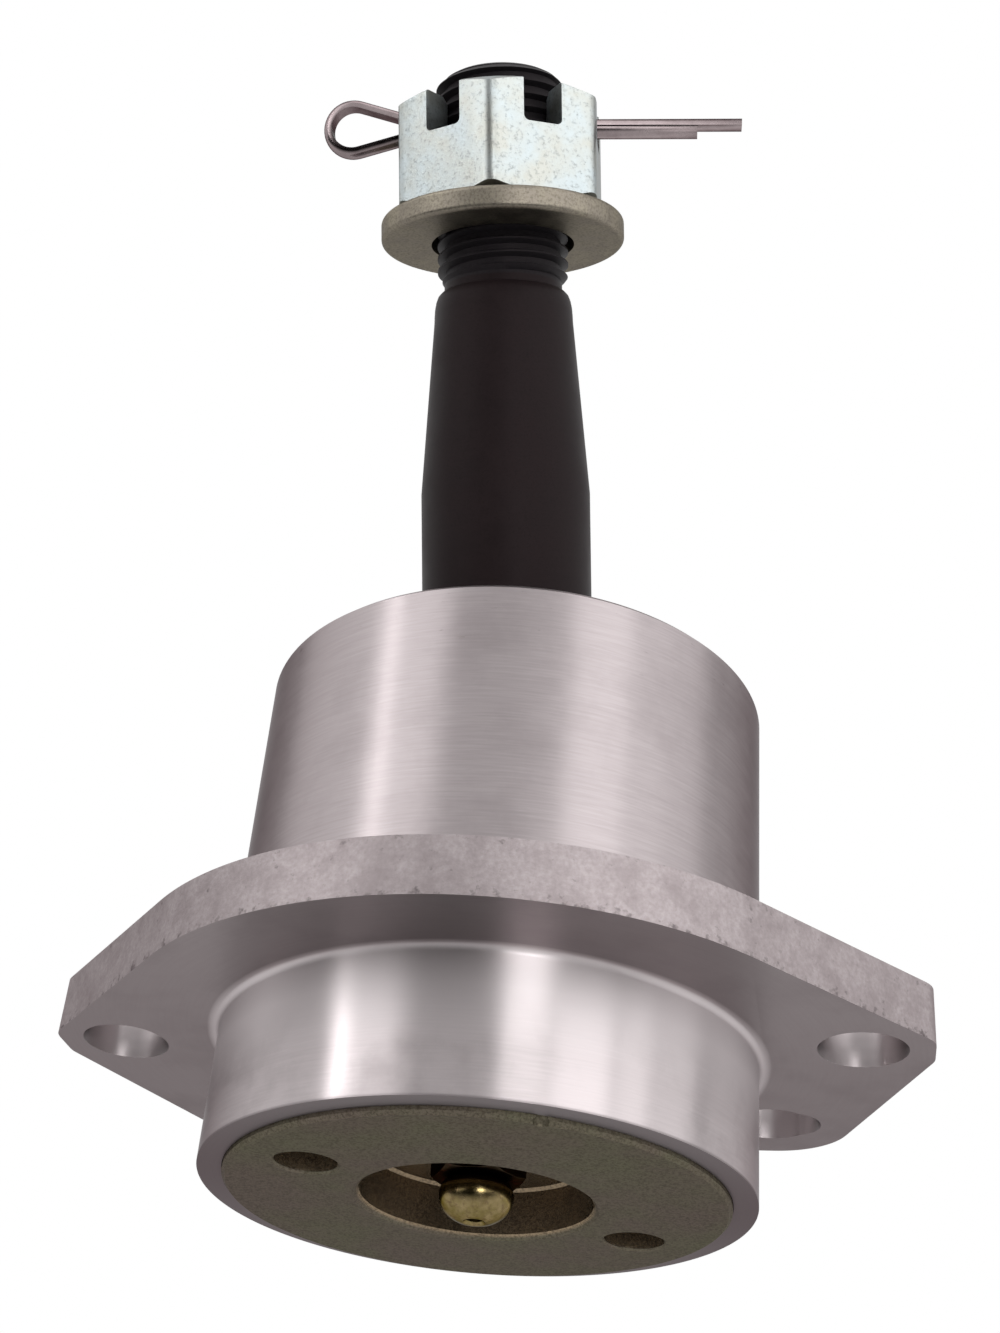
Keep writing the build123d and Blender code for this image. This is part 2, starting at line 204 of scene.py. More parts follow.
# cutter or abrasive marks that run round the axis, markLength degrees long and markWidth mm wide
def ringMarks(tree, at, markLength, markWidth, detail=3.0):
    across = addNode(tree, "Math", {0: at["along"], 1: at["radius"]}, operation="ADD")
    across = addNode(tree, "Math", {0: across, 1: 1 / markWidth}, operation="MULTIPLY")
    arc = addNode(tree, "VectorMath", {0: at["heading"], "Scale": math.degrees(1) / markLength}, operation="SCALE")
    lift = addNode(tree, "CombineXYZ", {"Z": across})
    spot = addNode(tree, "VectorMath", {0: arc, 1: lift}, operation="ADD")
    return addNode(tree, "TexNoise", {"Vector": spot, "Scale": 1.0, "Detail": detail, "Roughness": 0.6})


# the way that a glint is drawn out on a turned face: across the rings, lying in the surface
def acrossRings(tree, at, axis):
    around = addNode(tree, "VectorMath", {0: axis, 1: at["object"]}, operation="CROSS_PRODUCT")
    across = addNode(tree, "VectorMath", {0: around, 1: at["normal"]}, operation="CROSS_PRODUCT")
    return addNode(tree, "VectorTransform", {"Vector": across}, vector_type="VECTOR", convert_from="OBJECT",
                   convert_to="WORLD")


aluminium = {
    "body": "#968e8f", "ring": "#a1999a", "smudge": "#898182", "scuff": "#72696a",
    "low": "#b2aaab", "lowRingPaintedLight": "#bcb4b5",   # below the flange the cut is finer, and the tone is painted lighter there as painted light
    "paintedLitBand": "#ded6d7", "wall": "#b9b1b2",     # painted light, lightest on the lower barrel just under the flange, where the flange keeps light off; the bolt holes are lighter
    "under": "#968e8f", "rim": "#918a8b",     # the faced-off underside and rim are duller
    "sawn": "#b8afb0", "sawnDark": "#988e8f", "pit": "#645c5d", "grazing": "#948f90",
    # roughness, over the range that the rings give, then zone by zone
    "smooth": 0.285, "dull": 0.335, "roughness": {"paintedLitBand": 0.42, "under": 0.36, "edge": 0.62, "walls": 0.46},
    # how far a glint is drawn out: above the flange, below it, and on its edge and underside
    "drawn": 0.75, "drawnLow": 0.95, "drawnFlat": 0.6,
    # degrees long and mm wide; the cutter's feed is finer, and is drawn this coarse so that it shows
    "marks": (11.0, 0.22), "bands": (70.0, 1.3), "scuffs": (4.0, 0.45),
    # mm
    "smudgeSize": 8.0, "sawnGrain": 0.42, "patch": 2.6, "pitSize": 0.9, "drillFeed": 1.1, "ribPitch": 1.5,
    "relief": 0.006,
    # heights in mm: the scuffs, the band of painted light on the lower barrel under the flange, and the rim
    "scuffFrom": 0.0, "scuffTo": 9.0, "paintedLitFrom": -37.0, "paintedLitTo": -31.5, "rimFrom": -41.15, "rimTo": -41.32,
    "flangeTop": -22.5, "flangeUnder": -28.0, "barrel": 26.0, "edgeFrom": 28.9,
    # centre and reach of the walls of the bolt holes on one side
    "sideHole": ((35.65, -3.5, 0), 4.75), "backHole": ((27.1, 16.4, 0), 5.3),
}


# how far a point lies in each zone of the housing, 0 to 1
def housingZones(tree, at, size):
    facing = addNode(tree, "SeparateXYZ", {"Vector": at["normal"]}).outputs["Z"]
    below = addNode(tree, "MapRange", {"Value": at["along"], "From Min": size["flangeTop"],
                                       "From Max": size["flangeUnder"]})
    # an upright face outside the barrel is a bolt hole's wall or the flange's edge
    upright = addNode(tree, "Math", {0: facing}, operation="ABSOLUTE")
    upright = addNode(tree, "MapRange", {"Value": upright, "From Min": 0.86, "From Max": 0.8})
    outside = addNode(tree, "MapRange", {"Value": at["radius"], "From Min": size["edgeFrom"],
                                         "From Max": size["edgeFrom"] + 0.1})
    upright = addNode(tree, "Math", {0: upright, 1: outside}, operation="MULTIPLY")
    side = addNode(tree, "Math", {0: at["x"]}, operation="ABSOLUTE")
    folded = addNode(tree, "CombineXYZ", {"X": side, "Y": at["y"]})
    holes = []
    for centre, reach in (size["sideHole"], size["backHole"]):
        away = addNode(tree, "VectorMath", {0: folded, 1: centre}, operation="DISTANCE")
        holes.append(addNode(tree, "Math", {0: away, 1: reach}, operation="LESS_THAN"))
    inHole = addNode(tree, "Math", {0: holes[0], 1: holes[1]}, operation="MAXIMUM")
    notInHole = addNode(tree, "Math", {0: 1.0, 1: inHole}, operation="SUBTRACT")

    beyond = addNode(tree, "MapRange", {"Value": at["radius"], "From Min": size["barrel"] + 0.3,
                                        "From Max": size["barrel"] + 1.2})
    under = addNode(tree, "MapRange", {"Value": facing, "From Min": -0.7, "From Max": -0.9})
    # painted light: a band of the lower barrel, painted lightest where it meets the flange
    paintedLitBand = addNode(tree, "MapRange", {"Value": at["along"], "From Min": size["paintedLitFrom"],
                                      "From Max": size["paintedLitTo"]})
    paintedLitBand = addNode(tree, "Math", {0: paintedLitBand, 1: below}, operation="MULTIPLY")
    return {
        "below": below,
        "edge": addNode(tree, "Math", {0: upright, 1: notInHole}, operation="MULTIPLY"),
        "walls": addNode(tree, "Math", {0: upright, 1: inHole}, operation="MULTIPLY"),
        "backHole": holes[1],
        "under": addNode(tree, "Math", {0: under, 1: beyond}, operation="MULTIPLY"),
        "paintedLitBand": addNode(tree, "MapRange", {"Value": beyond, "To Min": paintedLitBand, "To Max": 0.0}),
        "rim": addNode(tree, "MapRange", {"Value": at["along"], "From Min": size["rimFrom"],
                                          "From Max": size["rimTo"]}),
    }


# 6061 aluminium turned from solid: satin, fine rings that draw the light out up and down, faint smudges;
# the flange's edge is left as sawn and tumbled, so it is matt, mottled and a little pitted
def turnedAluminium(size):
    material, tree = newMaterial("turnedAluminium")
    at = axisPlaces(tree)
    zone = housingZones(tree, at, size)
    below, edge, under, walls = zone["below"], zone["edge"], zone["under"], zone["walls"]
    rings = ringMarks(tree, at, *size["marks"])
    ringy = addNode(tree, "MapRange", {"Value": rings, "From Min": 0.3, "From Max": 0.7})
    # below the flange the tone is painted lighter, as painted light on the lower barrel
    plain = addNode(tree, "Mix", {0: below, 6: linear(size["body"]), 7: linear(size["low"])}, data_type="RGBA")
    ringed = addNode(tree, "Mix", {0: below, 6: linear(size["ring"]), 7: linear(size["lowRingPaintedLight"])},
                     data_type="RGBA")
    tone = addNode(tree, "Mix", {0: ringy, 6: plain, 7: ringed}, data_type="RGBA")
    smudges = addNode(tree, "TexNoise", {"Vector": at["point"], "Scale": 1 / size["smudgeSize"], "Detail": 5.0,
                                         "Roughness": 0.6})
    smudged = addNode(tree, "MapRange", {"Value": smudges, "From Min": 0.48, "From Max": 0.72, "To Max": 0.5})
    # short dark scuffs round the top edge, where the joint is handled
    scuffs = ringMarks(tree, at, *size["scuffs"], detail=4.0)
    scuffs = addNode(tree, "MapRange", {"Value": scuffs, "From Min": 0.66, "From Max": 0.76})
    high = addNode(tree, "MapRange", {"Value": at["along"], "From Min": size["scuffFrom"],
                                      "From Max": size["scuffTo"], "To Min": 0.12, "To Max": 0.7})
    scuffed = addNode(tree, "Math", {0: scuffs, 1: high}, operation="MULTIPLY")
    faced = addNode(tree, "Math", {0: under, 1: 0.7}, operation="MULTIPLY")
    # smudges and scuffs, the duller underside and rim, and the band of painted light under the flange
    for share, name in ((smudged, "smudge"), (scuffed, "scuff"), (faced, "under"), (zone["paintedLitBand"], "paintedLitBand"),
                        (zone["rim"], "rim")):
        tone = addNode(tree, "Mix", {0: share, 6: tone, 7: linear(size[name])}, data_type="RGBA")

    grain, patches, pits = [
        addNode(tree, "TexNoise", {"Vector": at["point"], "Scale": 1 / size[name], "Detail": detail,
                                   "Roughness": fineness})
        for name, detail, fineness in (("sawnGrain", 4.0, 0.6), ("patch", 5.0, 0.65), ("pitSize", 4.0, 0.6))]
    # most pits lie along the lower corner, and some along the upper one, where the dark pits also paint a thin
    # shadow line
    low = addNode(tree, "MapRange", {"Value": at["along"], "From Min": size["flangeUnder"] + 1.0,
                                     "From Max": size["flangeUnder"] + 0.1, "To Max": 0.13})
    top = addNode(tree, "MapRange", {"Value": at["along"], "From Min": size["flangeTop"] - 0.6,
                                     "From Max": size["flangeTop"], "To Max": 0.06})
    pitsAndShadowLine = addNode(tree, "Math", {0: pits, 1: low}, operation="ADD")
    pitsAndShadowLine = addNode(tree, "Math", {0: pitsAndShadowLine, 1: top}, operation="ADD")
    pitsAndShadowLine = addNode(tree, "MapRange", {"Value": pitsAndShadowLine, "From Min": 0.64, "From Max": 0.80, "To Max": 0.75})
    grainy = addNode(tree, "MapRange", {"Value": grain, "From Min": 0.3, "From Max": 0.7, "To Max": 0.6})
    patchy = addNode(tree, "MapRange", {"Value": patches, "From Min": 0.42, "From Max": 0.68, "To Max": 0.7})
    sawn = linear(size["sawn"])
    for share, name in ((grainy, "sawnDark"), (patchy, "sawnDark"), (pitsAndShadowLine, "pit")):
        sawn = addNode(tree, "Mix", {0: share, 6: sawn, 7: linear(size[name])}, data_type="RGBA")
    tone = addNode(tree, "Mix", {0: edge, 6: tone, 7: sawn}, data_type="RGBA")
    tone = addNode(tree, "Mix", {0: walls, 6: tone, 7: linear(size["wall"])}, data_type="RGBA")

    rough = addNode(tree, "MapRange", {"Value": rings, "From Min": 0.3, "From Max": 0.7,
                                       "To Min": size["smooth"], "To Max": size["dull"]})
    for name, value in size["roughness"].items():
        rough = addNode(tree, "Mix", {0: zone[name], 2: rough, 3: value}, data_type="FLOAT")
    drawn = addNode(tree, "MapRange", {"Value": below, "To Min": size["drawn"], "To Max": size["drawnLow"]})
    flat = addNode(tree, "Math", {0: edge, 1: under}, operation="MAXIMUM")
    drawn = addNode(tree, "Mix", {0: flat, 2: drawn, 3: size["drawnFlat"]}, data_type="FLOAT")

    # the drill leaves a few rings in the side holes, the end mill upright ribs in the relieved back holes
    drill = addNode(tree, "Math", {0: at["along"], 1: math.tau / size["drillFeed"]}, operation="MULTIPLY")
    drill = addNode(tree, "Math", {0: drill}, operation="SINE")
    ribs = addNode(tree, "Math", {0: at["x"], 1: math.tau / size["ribPitch"]}, operation="MULTIPLY")
    ribs = addNode(tree, "Math", {0: ribs}, operation="SINE")
    tooled = addNode(tree, "Mix", {0: zone["backHole"], 2: drill, 3: ribs}, data_type="FLOAT")
    bands = ringMarks(tree, at, *size["bands"], detail=2.0)
    height = addNode(tree, "Math", {0: bands, 1: 0.5}, operation="MULTIPLY")
    height = addNode(tree, "Math", {0: rings, 1: height}, operation="ADD")
    calm = addNode(tree, "MapRange", {"Value": under, "To Min": 1.0, "To Max": 0.35})
    height = addNode(tree, "Math", {0: height, 1: calm}, operation="MULTIPLY")
    pitHeight = addNode(tree, "Math", {0: pitsAndShadowLine, 1: -2.0}, operation="MULTIPLY")
    edgeHeight = addNode(tree, "Math", {0: grain, 1: 11.0}, operation="MULTIPLY")
    edgeHeight = addNode(tree, "Math", {0: edgeHeight, 1: pitHeight}, operation="ADD")
    height = addNode(tree, "Mix", {0: edge, 2: height, 3: edgeHeight}, data_type="FLOAT")
    height = addNode(tree, "Mix", {0: walls, 2: height, 3: tooled}, data_type="FLOAT")
    bump = addNode(tree, "Bump", {"Height": height, "Strength": 0.5, "Distance": size["relief"] * mm})
    metal = addNode(tree, "BsdfPrincipled", {
        "Base Color": tone, "Metallic": 1.0, "Roughness": rough, "Anisotropic": drawn, "Normal": bump,
        "Tangent": acrossRings(tree, at, (0, 0, 1)), "Specular Tint": linear(size["grazing"])})
    addNode(tree, "OutputMaterial", {"Surface": metal})
    return material


# a plated or treated skin: cloudy in two tones, with specks, faint rings and a fine relief, sizes in mm
def treatedSkin(name, size, lean=0.0):
    material, tree = newMaterial(name)
    at = axisPlaces(tree, lean)
    clouds = addNode(tree, "TexNoise", {"Vector": at["point"], "Scale": 1 / size["cloud"], "Detail": 4.0,
                                        "Roughness": 0.6})
    cloudy = addNode(tree, "MapRange", {"Value": clouds, "From Min": 0.35, "From Max": 0.66})
    tone = addNode(tree, "Mix", {0: cloudy, 6: linear(size["body"]), 7: linear(size["second"])}, data_type="RGBA")
    specks = addNode(tree, "TexNoise", {"Vector": at["point"], "Scale": 1 / size["speck"], "Detail": 3.0,
                                        "Roughness": 0.7})
    specky = addNode(tree, "MapRange", {"Value": specks, "From Min": size["speckFrom"],
                                        "From Max": size["speckFrom"] + 0.18, "To Max": size["speckDepth"]})
    tone = addNode(tree, "Mix", {0: specky, 6: tone, 7: linear(size["dark"])}, data_type="RGBA")
    rings = ringMarks(tree, at, markLength=30.0, markWidth=size["rings"])
    ringy = addNode(tree, "MapRange", {"Value": rings, "From Min": 0.35, "From Max": 0.75,
                                       "To Max": size["ringDepth"]})
    tone = addNode(tree, "Mix", {0: ringy, 6: tone, 7: linear(size["second"])}, data_type="RGBA")
    if "zone" in size:
        # a part of the piece, within a radius and above a height, that has its own tone; on the grease fitting that
        # tone is painted shade on the hexagon
        radius, above, zoneTone, zoneRoughness = size["zone"]
        inside = addNode(tree, "MapRange", {"Value": at["radius"], "From Min": radius, "From Max": radius - 0.15})
        up = addNode(tree, "MapRange", {"Value": at["along"], "From Min": above, "From Max": above + 0.2})
        zone = addNode(tree, "Math", {0: inside, 1: up}, operation="MULTIPLY")
        zoned = addNode(tree, "Mix", {0: specky, 6: linear(zoneTone), 7: linear(size["dark"])}, data_type="RGBA")
        tone = addNode(tree, "Mix", {0: zone, 6: tone, 7: zoned}, data_type="RGBA")
    ringHeight = addNode(tree, "Math", {0: rings, 1: size["ringDepth"]}, operation="MULTIPLY")
    height = addNode(tree, "Math", {0: specks, 1: ringHeight}, operation="ADD")
    bump = addNode(tree, "Bump", {"Height": height, "Strength": 0.5, "Distance": size["relief"] * mm})
    rough = addNode(tree, "MapRange", {"Value": clouds, "From Min": 0.3, "From Max": 0.7,
                                       "To Min": size["roughness"] - 0.05, "To Max": size["roughness"] + 0.06})
    if "zone" in size:
        rough = addNode(tree, "Mix", {0: zone, 2: rough, 3: zoneRoughness}, data_type="FLOAT")
    skin = addNode(tree, "BsdfPrincipled", {
        "Base Color": tone, "Metallic": size["metallic"], "Roughness": rough, "Normal": bump,
        "Specular IOR Level": size.get("gloss", 0.5), "Specular Tint": linear(size["grazing"])})
    addNode(tree, "OutputMaterial", {"Surface": skin})
    return material


finishes = {
    # steel in a dull olive zinc dichromate: hardly any sheen, grainy and cloudy, golder where the recess was turned
    "capDichromate": dict(body="#71655c", second="#6f6b59", dark="#3d352c", cloud=9.0, speck=0.24, speckFrom=0.44,
                          speckDepth=0.6, rings=0.3, ringDepth=0.15, relief=0.010, roughness=0.5, metallic=0.75,
                          grazing="#8c8c8c", zone=(20.5, -41.9, "#94826a", 0.2)),
    # brass-coloured zinc on a small turned fitting: bright on the nose; the hexagon, deep in the recess, is painted
    # dull dark brown as painted shade
    "goldZinc": dict(body="#75683f", second="#94835f", dark="#4a2f2a", cloud=1.1, speck=0.5, speckFrom=0.5,
                     speckDepth=0.5, rings=0.15, ringDepth=0.2, relief=0.005, roughness=0.22, metallic=1.0,
                     # the zone's dark tone is painted shade on the fitting's hexagon
                     grazing="#a0a0a0", zone=(5.0, -41.0, "#332b21", 0.35)),
    # black oxide on ground steel: a thin oiled coating, near black and brownish, with a broad soft sheen
    "blackOxide": dict(body="#181213", second="#1d1617", dark="#0d090a", cloud=5.0, speck=0.22, speckFrom=0.5,
                       speckDepth=0.5, rings=0.25, ringDepth=0.4, relief=0.004, roughness=0.5, metallic=0.0,
                       gloss=0.09, grazing="#ffeef0", zone=(8.0, 55.2, "#1d1b1d", 0.5)),
    # clear bright zinc on a forged nut: pale and cool, with small dents and a crystalline speckle
    "clearZinc": dict(body="#a1a29c", second="#adb5b7", dark="#6b6e6c", cloud=3.4, speck=0.42, speckFrom=0.52,
                      speckDepth=0.6, rings=0.25, ringDepth=0.05, relief=0.035, roughness=0.36, metallic=1.0,
                      grazing="#c0c0c0"),
    # stamped washer in yellow-grey zinc: matt face, grainy sheared edge
    "stampedZinc": dict(body="#827b71", second="#918a7c", dark="#59534a", cloud=2.2, speck=0.26, speckFrom=0.46,
                        speckDepth=0.6, rings=0.4, ringDepth=0.1, relief=0.020, roughness=0.46, metallic=1.0,
                        grazing="#b0b0b0"),
    # drawn mild steel wire: smooth, greyish, with a faint pink cast
    "drawnWire": dict(body="#887c7d", second="#978b8c", dark="#554b4b", cloud=1.5, speck=0.2, speckFrom=0.56,
                      speckDepth=0.3, rings=0.3, ringDepth=0.1, relief=0.004, roughness=0.22, metallic=1.0,
                      grazing="#707070"),
    # ground and polished bearing steel
    "bearingSteel": dict(body="#a4a4a6", second="#aeaeb0", dark="#909092", cloud=8.0, speck=0.3, speckFrom=0.56,
                         speckDepth=0.1, rings=0.2, ringDepth=0.15, relief=0.002, roughness=0.16, metallic=1.0,
                         grazing="#ffffff"),
    # sintered bronze of the seats: warm, porous, greasy
    "seatBronze": dict(body="#8c6a42", second="#9b7a50", dark="#5e4528", cloud=3.0, speck=0.3, speckFrom=0.56,
                       speckDepth=0.5, rings=0.3, ringDepth=0.3, relief=0.01, roughness=0.38, metallic=1.0,
                       grazing="#ffffff"),
    # blued spring steel
    "springSteel": dict(body="#4d5058", second="#5b5a60", dark="#33343a", cloud=4.0, speck=0.3, speckFrom=0.56,
                        speckDepth=0.2, rings=0.3, ringDepth=0.3, relief=0.006, roughness=0.3, metallic=1.0,
                        grazing="#ffffff"),
    # nitrile rubber: matt black, faintly dusty
    "nitrile": dict(body="#1b1b1c", second="#242425", dark="#101010", cloud=2.0, speck=0.2, speckFrom=0.56,
                    speckDepth=0.3, rings=0.3, ringDepth=0.1, relief=0.006, roughness=0.62, metallic=0.0,
                    grazing="#ffffff"),
}

materials = {"turnedAluminium": turnedAluminium(aluminium)}
for name, size in finishes.items():
    leans = name in ("blackOxide", "clearZinc", "stampedZinc", "drawnWire", "bearingSteel")
    materials[name] = treatedSkin(name, size, studLean if leans else 0.0)
print("materials made:", len(materials))


def dress(node, material):
    mesh = nodes[node].data
    mesh.materials.clear()
    mesh.materials.append(materials[material])


# a profile of (radius, height) points in mm, spun round +Z
def turnProfile(profile, segments=128):
    shape = bmesh.new()
    verts = [shape.verts.new((r * mm, 0, z * mm)) for r, z in profile]
    edges = [shape.edges.new(pair) for pair in zip(verts, verts[1:])]
    bmesh.ops.spin(shape, geom=verts + edges, cent=(0, 0, 0), axis=(0, 0, 1), angle=math.tau, steps=segments,
                   use_merge=True)
    bmesh.ops.remove_doubles(shape, verts=shape.verts, dist=1e-6)
    bmesh.ops.recalc_face_normals(shape, faces=shape.faces)
    return shape


# the faces of a flat shape drawn up to a solid, mm
def raiseFaces(shape, height):
    lifted = bmesh.ops.extrude_face_region(shape, geom=shape.faces[:])["geom"]
    bmesh.ops.translate(shape, vec=(0, 0, height * mm),
                        verts=[v for v in lifted if isinstance(v, bmesh.types.BMVert)])
    bmesh.ops.recalc_face_normals(shape, faces=shape.faces)


# an upright hexagonal bar, its size across the corners given as a radius
def makeHexagon(corner, low, high):
    shape = bmesh.new()
    bmesh.ops.create_circle(shape, cap_ends=True, segments=6, radius=corner * mm,
                            matrix=Matrix.Translation((0, 0, low * mm)))
    raiseFaces(shape, high - low)
    return shape


# a bmesh becomes an object that still stands on +Z
def makeObject(name, shape):
    mesh = bpy.data.meshes.new(name)
    shape.to_mesh(mesh)
    shape.free()
    thing = bpy.data.objects.new(name, mesh)
    bpy.context.collection.objects.link(thing)
    return thing


# the shape of a helper object, which goes
def takeShape(thing):
    shape = bmesh.new()
    shape.from_mesh(thing.data)
    bpy.data.objects.remove(thing)
    return shape


# cuts, joins or meets a piece with another shape, and keeps only the result
def combine(piece, shape, operation):
    tool = makeObject("tool", shape)
    change = piece.modifiers.new("combine", "BOOLEAN")
    change.object, change.operation, change.solver = tool, operation, "EXACT"
    result = bpy.data.meshes.new_from_object(piece.evaluated_get(bpy.context.evaluated_depsgraph_get()))
    piece.modifiers.clear()
    old, toolMesh = piece.data, tool.data
    piece.data = result
    bpy.data.objects.remove(tool)
    bpy.data.meshes.remove(old)
    bpy.data.meshes.remove(toolMesh)


# material, place, smooth shading and a rounded arris, then the body that it moves with
def finishPiece(piece, name, material, body, replaced, lean=0.0, turn=0.0, round_=0.0, sharp=35):
    piece.name = name
    mesh = piece.data
    mesh.name = name
    mesh.materials.clear()
    mesh.materials.append(materials[material])
    place = Matrix.Rotation(math.radians(lean), 4, "X") @ Matrix.Rotation(math.radians(turn), 4, "Z")
    mesh.transform(place)
    mesh.shade_smooth()
    mesh.set_sharp_from_angle(angle=math.radians(sharp))
    if round_:
        bevel = piece.modifiers.new("arris", "BEVEL")
        bevel.width, bevel.segments, bevel.limit_method = round_ * mm, 2, "ANGLE"
        bevel.angle_limit, bevel.harden_normals = math.radians(sharp), True
    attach(piece, body)
    if replaced:
        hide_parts(*replaced)
    return piece


# centre, radius, and the headings where it starts and ends, of each arc of the flange's right half, front to back
housingSize = {
    "outline": ((0, 0, 35.5, -90, -41), (39.2, -4.443, 3, -41, 0), (39.2, -1.585, 3, 0, 22.07),
                (26.511, 16.4, 8, 22.07, 90), (16.006, 28.4, 4, -90, -119.41), (0, 0, 28.6, 60.59, 90)),
    "arcStep": 0.7,
    "rim": -41.4, "flangeUnder": -28.0, "flangeTop": -22.5, "top": 10.2, "barrel": 26.0, "topChamfer": 0.6,
    "filletUnder": 0.6, "filletAbove": 2.0,
    "bore": ((0, -45), (23.7, -45), (23.7, -33.3), (22.05, -33.3), (22.05, 7.4), (17.879, 7.4), (17.573, 8.1),
             (17.233, 8.8), (16.857, 9.5), (16.443, 10.2), (15.99, 10.9), (0, 10.9)),
    "sideHole": (35.65, -3.5, 4.2), "backHole": (26.5, 16.4, 4.2), "relief": (28.3, 16.4, 3.2), "overcut": 3,
    "arris": 0.4,
}


def makeHousing(size):
    low, high, barrel = size["flangeUnder"], size["flangeTop"], size["barrel"]
    arcs = list(size["outline"])
    arcs += [(-x, y, r, 180 - end, 180 - start) for x, y, r, start, end in reversed(arcs)]
    plate = bmesh.new()
    chains = []
    for x, y, r, start, end in arcs:
        steps = max(4, math.ceil(abs(math.radians(end - start)) * r / size["arcStep"]))
        first = plate.verts.new(((x + r * math.cos(math.radians(start))) * mm,
                                 (y + r * math.sin(math.radians(start))) * mm, low * mm))
        swept = bmesh.ops.spin(plate, geom=[first], cent=(x * mm, y * mm, low * mm), axis=(0, 0, 1),
                               angle=math.radians(end - start), steps=steps, use_merge=False)["geom_last"]
        chains.append((first, next(v for v in swept if isinstance(v, bmesh.types.BMVert))))
    for (_, last), (following, _) in zip(chains, chains[1:] + chains[:1]):
        plate.edges.new((last, following))
    bmesh.ops.remove_doubles(plate, verts=plate.verts, dist=1e-5)
    bmesh.ops.edgeloop_fill(plate, edges=plate.edges)
    raiseFaces(plate, high - low)
    housing = makeObject("housing", plate)
    chamfer = size["topChamfer"]
    combine(housing, turnProfile([(0, size["rim"]), (barrel, size["rim"]), (barrel, size["top"] - chamfer),
                                  (barrel - chamfer, size["top"]), (0, size["top"])], 192), "UNION")

    # the turned fillets where the barrel meets the flange, small below and larger above
    corners = bmesh.new()
    corners.from_mesh(housing.data)
    for level, width in ((low, size["filletUnder"]), (high, size["filletAbove"])):
        ring = [e for e in corners.edges if all(abs(v.co.z - level * mm) < 1e-5
                                                and abs(v.co.xy.length - barrel * mm) < 1e-5 for v in e.verts)]
        bmesh.ops.bevel(corners, geom=ring, offset=width * mm, segments=6, profile=0.5, affect="EDGES", material=-1)
    corners.to_mesh(housing.data)
    corners.free()

    for side in (-1, 1):
        for x, y, r in (size["sideHole"], size["backHole"], size["relief"]):
            drill = bmesh.new()
            bmesh.ops.create_cone(drill, cap_ends=True, segments=64, radius1=r * mm, radius2=r * mm,
                                  depth=(high - low + size["overcut"]) * mm,
                                  matrix=Matrix.Translation((side * x * mm, y * mm, (low + high) / 2 * mm)))
            combine(housing, drill, "DIFFERENCE")
    combine(housing, turnProfile(size["bore"], 160), "DIFFERENCE")
    finishPiece(housing, "turnedHousing", "turnedAluminium", "housing", ["housing"],
                round_=size["arris"])


makeHousing(housingSize)
print("housing made, bored and drilled")


studSize = {
    "headLow": -13.55, "headHigh": -9.55, "headRadius": 11.0,
    "shank": 8.95, "shankEnd": 33.0, "taperEnd": 51.5, "taperRadius": 7.408,
    "nose": ((7.39, 52.1), (7.33, 52.9), (7.2, 53.6), (7.02, 54.1), (6.75, 54.4)),
    "neck": 6.3, "neckStart": 54.5, "neckEnd": 55.5,
    "end": ((0, -0.6), (-0.5, -0.3), (-1.6, -0.08)),   # from the thread's root and the top
    "pitch": 1.411, "threadRadius": 7.0, "threadRoot": 6.22, "top": 78.2,
    "ridge": (0.1, 0.43, 0.57, 0.9), "ridgeFoot": 0.4,   # shares of the pitch; mm inside the root
    "leadIn": 1.2, "leadOut": 1.5,
    "pinHole": 1.45, "pinLevel": 72.75,
}


def makeStud(size):
    root, crest, low, high = size["threadRoot"], size["threadRadius"], size["neckEnd"] + 0.1, size["top"]
    profile = [(0, size["headLow"]), (size["headRadius"] - 0.8, size["headLow"]),
               (size["headRadius"], size["headLow"] + 0.8), (size["headRadius"], size["headHigh"]),
               (size["shank"], size["headHigh"]), (size["shank"], size["shankEnd"]),
               (size["taperRadius"], size["taperEnd"]), *size["nose"],
               (size["neck"], size["neckStart"]), (size["neck"], size["neckEnd"]), (root, size["neckEnd"] + 0.4),
               *[(root + r, high + z) for r, z in size["end"]], (0, high)]
    stud = makeObject("stud", turnProfile(profile))

    # the ridge of the thread, its ends and crest cut by a turned envelope
    p, foot = size["pitch"], root - size["ridgeFoot"]
    ridge = zip((foot, crest, crest, foot), size["ridge"])
    turns, steps = math.ceil((high - low) / p) + 2, 72
    thread = bmesh.new()
    verts = [thread.verts.new((r * mm, 0, (low - p + share * p) * mm)) for r, share in ridge]
    section = thread.faces.new(verts)
    bmesh.ops.spin(thread, geom=[section, *section.edges, *verts], cent=(0, 0, 0), axis=(0, 0, 1),
                   dvec=(0, 0, p * mm / steps), angle=math.tau * turns, steps=steps * turns, use_merge=False)
    bmesh.ops.recalc_face_normals(thread, faces=thread.faces)
    rod = makeObject("rod", thread)
    combine(rod, turnProfile([(0, low), (root + 0.05, low), (crest + 0.2, low + size["leadIn"]),
                              (crest + 0.2, high - size["leadOut"]), (root - 0.05, high - 0.62),
                              (0, high - 0.62)], 96), "INTERSECT")
    combine(stud, takeShape(rod), "UNION")

    hole = bmesh.new()
    bmesh.ops.create_cone(hole, cap_ends=True, segments=48, radius1=size["pinHole"] * mm,
                          radius2=size["pinHole"] * mm, depth=20 * mm,
                          matrix=Matrix.Translation((0, 0, size["pinLevel"] * mm))
                          @ Matrix.Rotation(math.pi / 2, 4, "Y"))
    combine(stud, hole, "DIFFERENCE")
    finishPiece(stud, "threadedStud", "blackOxide", "stud", ["stud"], lean=studLean,
                turn=nutAzimuth)


makeStud(studSize)
print("stud made, threaded and drilled")


nutSize = {
    "low": 62.5, "high": 74.6, "acrossFlats": 20.8, "cornerCut": 30, "slotWidth": 4.3, "slotFloor": 70.0,
    "cutterLength": 30, "cutterHeight": 8,
    "slotCorner": 0.55, "corner": 0.8, "bore": 7.06, "countersink": 0.7, "arris": 0.16,
}


